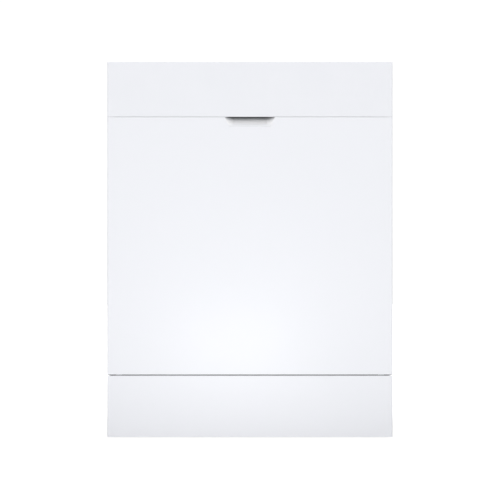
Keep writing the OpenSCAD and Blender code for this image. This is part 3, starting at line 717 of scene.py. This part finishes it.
def add_lower_rack():
    """Wire basket with plate tines, the wheels' plates and axles, and the clips."""
    floor = LOWER_FLOOR
    bm = rack_mesh(floor, 0.118, 0.232)
    add_runners(bm, (-0.18, -0.06, 0.06), floor)
    piece("lower_rack_wire", bm, COATED, "lower_rack", ["lower_basket"])
    # two fixed rows of plate tines
    bm = bmesh.new()
    for y in (0.040, 0.100):
        tube(bm, [(-0.160, y, floor + 2 * MM), (0.070, y, floor + 2 * MM)], HOOP, 8)
        for i in range(8):
            x = -0.150 + i * 30 * MM
            tube(bm, rounded([(x, y, floor), (x, y + 3 * MM, floor + 62 * MM)], 2 * MM, 2), PRONG, 8)
    piece("plate_tines", bm, TINE, "lower_rack", ["lower_basket"])
    # plates and axles of the wheels
    axle = [
        (0.0, 0.2365), (0.0029, 0.2365), (0.0029, 0.2535), (0.0042, 0.254), (0.0042, 0.2555), (0.0, 0.2555),
    ]
    bm = bmesh.new()
    for y in (-0.086, 0.150):
        plate(bm, rrect(y, 0.2125, 0.030, 0.034, 0.008), [], yz, 0.2335, 0.2375)
        lathe(bm, axle, (0, y, 0.1993), "X", 20)
    mirror_x(bm)
    piece("wheel_carriers", bm, GREY, "lower_rack", ["lower_basket"], bevel=0.5 * MM)
    # clips that the folding tines turn in
    bm = bmesh.new()
    for x in (-0.171, -0.021):
        eye = rrect(-0.060, 0.222, 0.0034, 0.0034, 0.0016)
        plate(bm, rrect(-0.060, 0.2205, 0.011, 0.0135, 0.003), [eye], yz, x - 3.5 * MM, x + 3.5 * MM)
    piece("tine_clips", bm, GREY, "lower_rack", ["lower_basket"], bevel=0.4 * MM)


def add_fold_tines():
    """Row of tines that folds flat about its own bar."""
    bm = bmesh.new()
    y, z = -0.060, 0.222
    tube(bm, [(-0.192, y, z), (0.0, y, z)], WIRE, 12)
    for i in range(7):
        x = -0.186 + i * 30 * MM
        tube(bm, [(x, y, z), (x, y, z + 71 * MM)], PRONG, 8)
    piece("fold_tines_wire", bm, TINE, "fold_tines", ["fold_tines"])


# ---- Springs of the door ----

def add_springs():
    """Coil springs with an eye at each end, their cords round the pulleys, and their anchor pins."""
    x, z = 0.2878, 0.167
    coil, bar = 5.4 * MM, 1.1 * MM
    front, back = -0.118, 0.058
    turns, steps = 52, 10
    path = []
    for k in range(turns * steps + 1):
        a = 2 * math.pi * k / steps
        y = front + (back - front) * k / (turns * steps)
        path.append((x + coil * math.cos(a), y, z + coil * math.sin(a)))
    bm = bmesh.new()
    tube(bm, path, bar, 6)
    tube(bm, rounded([(x + coil, back, z), (x, back + 2 * MM, z), (x, back + 18 * MM, z)], 4 * MM), bar, 6)
    for y in (0.081, -0.1235):
        eye = [(x, y + 5 * MM * c, z + 5 * MM * s) for c, s in around(16)]
        tube(bm, eye, bar, 6, True)
    mirror_x(bm)
    piece("springs", bm, BRIGHT, "cabinet", ["door_springs"])
    # the cord leaves the spring, turns half round the pulley and runs on to the door
    pulley_y, pulley_z, r = -0.196, 0.178, 11 * MM
    path = [(x, -0.1270, z), (x, pulley_y, z)]
    for k in range(1, 12):
        a = -math.pi / 2 - math.pi * k / 12
        path.append((x, pulley_y + r * math.cos(a), pulley_z + r * math.sin(a)))
    path += [(x, pulley_y, pulley_z + r), (x, -0.2525, pulley_z + r)]
    bm = bmesh.new()
    tube(bm, path, 0.9 * MM, 8)
    mirror_x(bm)
    piece("spring_cords", bm, BLACK, "cabinet", ["door_springs"])
    bm = bmesh.new()
    lathe(bm, [(0, 0.2835), (0.0020, 0.2835), (0.0020, 0.2955), (0.0, 0.2955)], (0, 0.081, z), "X", 20)
    mirror_x(bm)
    piece("spring_anchors", bm, BRIGHT, "cabinet", ["door_springs"], bevel=0.3 * MM)


# ---- Spray arms ----

ARM_Y = 0.019


def blade_outline(r, hub, w):
    """Half outline of an arm: a slim swept blade that widens at the hub."""
    pts = []
    steps = 14
    for k in range(steps + 1):
        t = k / steps
        x = r * t
        root = (hub - w) * math.exp(-((x / (hub * 1.5)) ** 2))
        pts.append((x, w * (1 - 0.38 * t) + root))
    return pts


def arm_sweep(x, r):
    """How far an arm's middle line bends sideways at x."""
    return -6 * MM * (x / r) * abs(x / r)


def arm_height(x, r, h):
    """Height of an arm at x. It thins out towards the tips."""
    return h * (0.5 + 0.5 * math.cos(math.pi * min(abs(x) / r, 1) * 0.55))


def add_arm(name, z, r, hub, w, h, cap, grips):
    """A spray arm of radius r with its foot at z.

    hub and w are half its width at the middle and along the blade, and h is its height.
    cap is the hub's profile, and grips is (radius, low, top) of the ribs on it.
    """
    half = blade_outline(r, hub, w)
    rings = []
    bm = bmesh.new()
    for x, y in [(-x, y) for x, y in half[::-1]] + half[1:]:
        s = 1.0 if abs(x) < r * 0.999 else 0.72
        tall = arm_height(x, r, h)
        ring = []
        for ca, sa in around(16):
            px = math.copysign(abs(ca) ** 0.6, ca) * y * s
            pz = math.copysign(abs(sa) ** 0.75, sa) * tall / 2 * s
            ring.append(bm.verts.new((x, ARM_Y + arm_sweep(x, r) + px, z + h / 2 + pz)))
        rings.append(ring)
    for a, b in zip(rings, rings[1:]):
        for k in range(len(a)):
            bm.faces.new((a[k], a[(k + 1) % len(a)], b[(k + 1) % len(b)], b[k]))
    bm.faces.new(rings[0])
    bm.faces.new(rings[-1][::-1])
    piece(name + "_blade", bm, GREY, name, [name], angle=60)
    # nozzles: small raised cups with dark slots, black discs painted in as the shade of the openings
    cup = [
        (0.0058, -0.0012), (0.0058, 0.0004), (0.0046, 0.0012), (0.0034, 0.0012), (0.0030, 0.0003),
        (0.0, 0.0003),
    ]
    jet = [(0.0, 0.0002), (0.0022, 0.0002), (0.0022, 0.00055), (0.0, 0.00055)]
    spots = []
    for i in range(7):
        x = r * (0.20 + 0.115 * i)
        off = 5 * MM * (1 if i % 2 else -1)
        spots += [(x, off), (-x - 8 * MM, -off)]
    bm = bmesh.new()
    dark = bmesh.new()
    for x, off in spots:
        if abs(x) > r - 12 * MM:
            continue
        level = z + h / 2 + arm_height(x, r, h) / 2
        at = (x, ARM_Y + arm_sweep(x, r) + off, level - 0.4 * MM)
        lathe(bm, cup, at, "Z", 20)
        lathe(dark, jet, at, "Z", 14)
    piece(name + "_nozzles", bm, GREY, name, [name])
    piece(name + "_jets", dark, BLACK, name, [name])
    # hub cap with grip ribs
    bm = bmesh.new()
    lathe(bm, cap, (0, ARM_Y, 0), "Z", 48)
    reach, low, top = grips
    rib = [(0.0, low), (0.0016, low), (0.0016, top - 0.0006), (0.0010, top), (0.0, top)]
    for c, s in around(12):
        lathe(bm, rib, (reach * c, ARM_Y + reach * s, 0), "Z", 10)
    piece(name + "_hub", bm, GREY, name, [name])


def add_arms():
    low_cap = [
        (0.01208, 0.174), (0.0195, 0.174), (0.0200, 0.1745), (0.0200, 0.188), (0.024, 0.1895),
        (0.026, 0.1985), (0.022, 0.2006), (0.014, 0.2010), (0.0, 0.2010),
    ]
    high_cap = [
        (0.00708, 0.4375), (0.014, 0.4375), (0.016, 0.4385), (0.016, 0.4500),
        (0.0150, 0.4515), (0.00708, 0.4515),
    ]
    add_arm("lower_spray_arm", 0.189, 0.214, 0.036, 0.0215, 0.0105, low_cap, (0.0172, 0.200, 0.2022))
    add_arm("upper_spray_arm", 0.440, 0.210, 0.030, 0.0185, 0.0095, high_cap, (0.0155, 0.444, 0.4515))


# ---- Pressed shapes ----

def pads(name, spots, place, base, rise, material, body, bevel):
    """Raised fields on a sheet, as a press leaves them. spots are (u, v, width, height, radius)."""
    bm = bmesh.new()
    for u, v, w, h, r in spots:
        plate(bm, rrect(u, v, w, h, r), [], place, base - math.copysign(0.2 * MM, rise), base + rise)
    piece(name, bm, material, body, (), bevel=bevel, segments=3)


def frames(name, spots, place, base, rise, width, material, body, bevel=0.9 * MM):
    """Raised rectangular ribs that run round a field."""
    bm = bmesh.new()
    for u, v, w, h, r in spots:
        field = rrect(u, v, w - 2 * width, h - 2 * width, max(r - width, 2 * MM))
        sunk = base - math.copysign(0.2 * MM, rise)
        plate(bm, rrect(u, v, w, h, r), [field], place, sunk, base + rise)
    piece(name, bm, material, body, (), bevel=bevel, segments=3)


def add_pressings():
    """Ribs and fields pressed into the tub, the liner and the side frames."""
    rise, rib = 1.6 * MM, 14 * MM
    # inside of the tub
    for side, s in (("left", -1), ("right", 1)):
        fields = [(0.030, 0.360, 0.400, 0.200, 0.030), (0.030, 0.648, 0.400, 0.150, 0.030)]
        frames("tub_rib_" + side, fields, yz, 0.270 * s, -rise * s, rib, STEEL, "cabinet")
    fields = [
        (-0.135, 0.335, 0.210, 0.200, 0.030), (0.135, 0.335, 0.210, 0.200, 0.030),
        (-0.135, 0.620, 0.210, 0.220, 0.030), (0.135, 0.620, 0.210, 0.220, 0.030),
    ]
    frames("tub_rib_back", fields, xz, 0.250, -rise, rib, LINER, "cabinet")
    fields = [(-0.145, 0.020, 0.200, 0.380, 0.030), (0.145, 0.020, 0.200, 0.380, 0.030)]
    frames("tub_rib_top", fields, xy, 0.765, -rise, rib, STEEL, "cabinet")
    # inside of the door
    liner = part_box("door_liner")[1].y
    fields = [
        (0, 0.470, 0.500, 0.560, 0.034), (0, 0.330, 0.400, 0.200, 0.026), (0, 0.690, 0.400, 0.090, 0.026),
    ]
    frames("liner_rib", fields, xz, liner, rise, 12 * MM, LINER, "door")
    # outer side frames: a lip round the window, and ribs above, below and beside it
    bars = [(0.030, z, 0.420, 0.016, 0.0078) for z in (0.110, 0.150, 0.190, 0.738)]
    bars += [(y, 0.460, 0.014, 0.360, 0.0068) for y in (-0.188, 0.240)]
    for side, s in (("left", -1), ("right", 1)):
        node = "side_frame_" + side
        face = 0.297 * s
        frames(node + "_lip", [(0.025, 0.462, 0.350, 0.456, 0.025)], yz, face, 0.9 * MM * s, 4 * MM,
               ZINC, "cabinet", 0.4 * MM)
        pads(node + "_ribs", bars, yz, face, 1 * MM * s, ZINC, "cabinet", 0.7 * MM)


def add_screws():
    """Screws of the side frames, with a dished head."""
    profile = [
        (0.0, 0.2890), (0.0021, 0.2890), (0.0021, 0.2971), (0.0046, 0.2971), (0.0048, 0.2976),
        (0.0042, 0.2979), (0.0038, 0.2986), (0.0019, 0.2986), (0.0015, 0.2980), (0.0, 0.2980),
    ]
    bm = bmesh.new()
    for y in (-0.190, 0.250):
        for z in (0.250, 0.670):
            lathe(bm, profile, (0, y, z), "X", 24)
    mirror_x(bm)
    piece("screws", bm, BRIGHT, "cabinet", ["frame_screws"])


# ---- Small details ----

# A mark on a face starts this far inside it and stands this far out of it.
SUNK, PROUD = 0.2 * MM, 0.12 * MM


def dot(bm, r, centre, seg):
    """A flat disc on a level face."""
    lathe(bm, [(0.0, -SUNK), (r, -SUNK), (r, PROUD), (0.0, PROUD)], centre, "Z", seg)


def add_foot_ribs():
    """Grip ribs round the body of each levelling foot."""
    for name in ("foot_front_left", "foot_front_right", "foot_rear_left", "foot_rear_right"):
        x, y = middle(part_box(name))[:2]
        bm = bmesh.new()
        for c, s in around(18):
            cx, cy = x + 11 * MM * c, y + 11 * MM * s
            tube(bm, [(cx, cy, 6.2 * MM), (cx, cy, 19 * MM)], 0.9 * MM, 6)
        for z in (5.2 * MM, 20 * MM):
            path = [(x + 11.2 * MM * c, y + 11.2 * MM * s, z) for c, s in around(40)]
            tube(bm, path, 0.7 * MM, 6, True)
        piece(name + "_ribs", bm, BLACK, name, ())


def add_filter_holes():
    """Fine holes pressed through the filter plate, drawn as dark dots a hair above it: painted shade in place
    of the dark seen through each hole.
    """
    lo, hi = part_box("filter_plate")
    x, y = middle((lo, hi))[:2]
    cup_x, cup_y = middle(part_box("filter_cup"))[:2]
    level = hi.z - 1.5 * MM
    bm = bmesh.new()
    for j in range(12):
        r = 26 * MM + 7 * MM * j
        n = int(2 * math.pi * r / (6.8 * MM))
        for k in range(n):
            a = 2 * math.pi * (k + 0.5 * (j % 2)) / n
            hole = (x + r * math.cos(a), y + r * math.sin(a), level)
            if math.hypot(hole[0] - cup_x, hole[1] - cup_y) >= 42.5 * MM:
                dot(bm, 1.6 * MM, hole, 8)
    piece("filter_holes", bm, BLACK, "cabinet", ())


def add_wheel_faces():
    """Raised rims and spokes on the outer faces of the rack's wheels."""
    face = 0.2490
    rim = [(0.0090, face - SUNK), (0.0092, face + 0.0006), (0.0108, face + 0.0006), (0.0112, face - SUNK)]
    for name in ("wheels_front", "wheels_rear"):
        y, z = middle(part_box(name))[1:]
        bm = bmesh.new()
        lathe(bm, rim, (0, y, z), "X", 36)
        for c, s in around(5):
            spoke = [(face, y + r * c, z + r * s) for r in (6.2 * MM, 9.2 * MM)]
            tube(bm, spoke, 0.7 * MM, 6)
        mirror_x(bm)
        piece(name + "_spokes", bm, PALE, name, ())


def add_control_marks():
    """Small plain marks on the buttons and dashes behind the window. None is a letter."""
    ring = [(0.0017, -SUNK), (0.0017, PROUD), (0.0024, PROUD), (0.0024, -SUNK), (0.0017, -SUNK)]
    dots = {"power": 0, "program": 3, "option": 2, "start": 1}
    for kind, count in dots.items():
        node = kind + "_button"
        lo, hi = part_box(node)
        x, y = middle((lo, hi))[:2]
        bm = bmesh.new()
        if count == 0:
            lathe(bm, ring, (x, y, hi.z), "Z", 28)
        for k in range(count):
            at = x + (k - (count - 1) / 2) * 4.6 * MM
            dot(bm, 1.1 * MM, (at, y, hi.z), 16)
        piece(kind + "_mark", bm, BLACK, node, ())
    lo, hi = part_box("display_window")
    y = (lo.y + hi.y) / 2
    bm = bmesh.new()
    for k in range(4):
        dash = rrect((-27 + 18 * k) * MM, y, 9.5 * MM, 1.6 * MM, 0.6 * MM)
        plate(bm, dash, [], xy, hi.z - SUNK, hi.z + 0.06 * MM)
    piece("display_dashes", bm, PALE, "door", ())


def add_basket_handle():
    """Bail that the cutlery basket is lifted by."""
    lo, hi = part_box("cutlery_basket")
    x = (lo.x + hi.x) / 2
    front, back = -0.0960, -0.0240
    low, top = hi.z - 4 * MM, hi.z + 40 * MM
    bm = bmesh.new()
    path = [(x, front, low), (x, front, top), (x, back, top), (x, back, low)]
    tube(bm, rounded(path, 16 * MM, 8), 3.4 * MM, 12)
    grip = [(0.0030, -0.0011), (0.0040, -0.0008), (0.0040, 0.0008), (0.0030, 0.0011)]
    for k in range(7):
        y = (front + back) / 2 + (k - 3) * 5.5 * MM
        lathe(bm, grip, (x, y, top), "Y", 16)
    piece("cutlery_bail", bm, GREY, "lower_rack", ())


def add_liner_screws():
    """Cross-head screws that hold the liner to the door."""
    x, back = 0.2818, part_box("door_liner")[1].y
    head = [(0.0, -0.0004), (0.0034, -0.0004), (0.0034, 0.0002), (0.0026, 0.0008), (0.0, 0.0010)]
    long, thin = 3.6 * MM, 0.7 * MM
    bm = bmesh.new()
    slots = bmesh.new()
    for z in (0.235, 0.360, 0.485, 0.610, 0.735):
        lathe(bm, head, (x, back, z), "Y", 20)
        # the cross slots are black plates: painted shade in the recesses of the heads
        for w, h in ((long, thin), (thin, long)):
            plate(slots, rrect(x, z, w, h, 0.2 * MM, 2), [], xz, back + 0.9 * MM, back + 1.12 * MM)
    mirror_x(bm)
    mirror_x(slots)
    piece("liner_screws", bm, BRIGHT, "door", ())
    piece("liner_screw_slots", slots, BLACK, "door", ())


def add_lid_grips():
    """Fine ridges on the dispenser's lid and round the rinse cap."""
    bm = bmesh.new()
    for k in range(6):
        ridge = rrect(-0.045, 0.5150 + 0.0050 * k, 52 * MM, 1.6 * MM, 0.7 * MM)
        plate(bm, ridge, [], xz, -0.2291, -0.2285)
    piece("lid_ridges", bm, PALE, "detergent_lid", (), bevel=0.2 * MM)
    bm = bmesh.new()
    for c, s in around(24):
        x, z = 0.036 + 18.8 * MM * c, 0.545 + 18.8 * MM * s
        tube(bm, [(x, -0.2305, z), (x, -0.2275, z)], 0.7 * MM, 6)
    piece("rinse_cap_ridges", bm, PALE, "rinse_cap", ())


def add_salt_grips():
    """Ridges round the salt cap's rim."""
    x, y = middle(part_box("salt_cap"))[:2]
    bm = bmesh.new()
    for c, s in around(36):
        rx, ry = x + 33.8 * MM * c, y + 33.8 * MM * s
        tube(bm, [(rx, ry, 0.1632), (rx, ry, 0.1710)], 1 * MM, 6)
    piece("salt_cap_ridges", bm, PALE, "salt_cap", ())


def add_back_screws():
    """Screws along the edges of the rear panel."""
    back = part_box("back_panel")[1].y
    head = [(0.0, -0.0004), (0.0036, -0.0004), (0.0036, 0.0001), (0.0028, 0.0006), (0.0, 0.0007)]
    bm = bmesh.new()
    for x, z in ((0.284, 0.288), (0.150, 0.288), (0.284, 0.060), (0.284, 0.170)):
        lathe(bm, head, (x, back, z), "Y", 20)
    mirror_x(bm)
    piece("back_screws", bm, BRIGHT, "cabinet", ())


# ---- Build ----

PAINTS = {
    "door_panel": WHITE, "kick_plate": WHITE, "fascia": WHITE_P, "tub": STEEL, "door_liner": LINER,
    "filter_plate": LINER, "side_frame_left": ZINC, "side_frame_right": ZINC, "top_crossbars": ZINC,
    "back_panel": ZINC, "hinge_brackets": ZINC, "hinge_arms": ZINC, "rack_rails": BRIGHT,
    "strike_plate": BRIGHT, "base_pan": BLACK, "sump": BLACK, "drain_pump": BLACK,
    "power_module": BLACK, "rope_pulleys": BLACK, "door_latch": BLACK, "control_module": BLACK,
    "foot_front_left": BLACK, "foot_front_right": BLACK, "foot_rear_left": BLACK, "foot_rear_right": BLACK,
    "filter_cup": GREY, "circulation_pump": GREY, "feed_pipe": GREY, "top_shower": GREY,
    "rack_duct": GREY, "dispenser": GREY, "cutlery_basket": GREY, "salt_container": PALE,
    "salt_cap": PALE, "inlet_valve": PALE, "heat_exchanger": PALE, "detergent_lid": PALE,
    "rinse_cap": PALE, "power_button": PALE, "program_button": PALE, "option_button": PALE,
    "start_button": PALE, "rollers_front": PALE, "rollers_rear": PALE, "wheels_front": PALE,
    "wheels_rear": PALE, "door_gasket": SEAL, "lower_seal": SEAL, "damping_mats": TAR,
    "display_window": GLASS,
}

# Radius in mm of the CAD nodes' rounded edges, where it isn't the usual one.
USUAL_EDGE = 0.3
SOFT = {
    "door_panel": 0.35, "kick_plate": 0.35, "fascia": 0.4,
    "base_pan": 1.2, "cutlery_basket": 0.6, "dispenser": 0.6, "heat_exchanger": 1.2,
    "door_gasket": 2.6, "salt_cap": 1.2, "rinse_cap": 0.9, "detergent_lid": 0.7,
    "circulation_pump": 1.5, "drain_pump": 1.2, "power_module": 1.2, "inlet_valve": 0.8,
    "feed_pipe": 1.2, "top_shower": 1.2, "damping_mats": 1.0, "wheels_front": 0.8,
    "wheels_rear": 0.8, "rollers_front": 0.8, "rollers_rear": 0.8, "filter_cup": 0.5,
}

add_camera()
add_world()
add_floor()
add_lamps()
for node, material in PAINTS.items():
    paint(node, material)
    width = SOFT.get(node, USUAL_EDGE) * MM
    round_edges(NODES[node], width, 3 if width > 0.5 * MM else 2)

add_pocket()
add_sill()
add_upper_rack()
add_shelf(-1)
add_shelf(1)
add_lower_rack()
add_fold_tines()
add_springs()
add_arms()
add_pressings()
add_screws()
add_foot_ribs()
add_filter_holes()
add_wheel_faces()
add_control_marks()
add_basket_handle()
add_liner_screws()
add_lid_grips()
add_salt_grips()
add_back_screws()
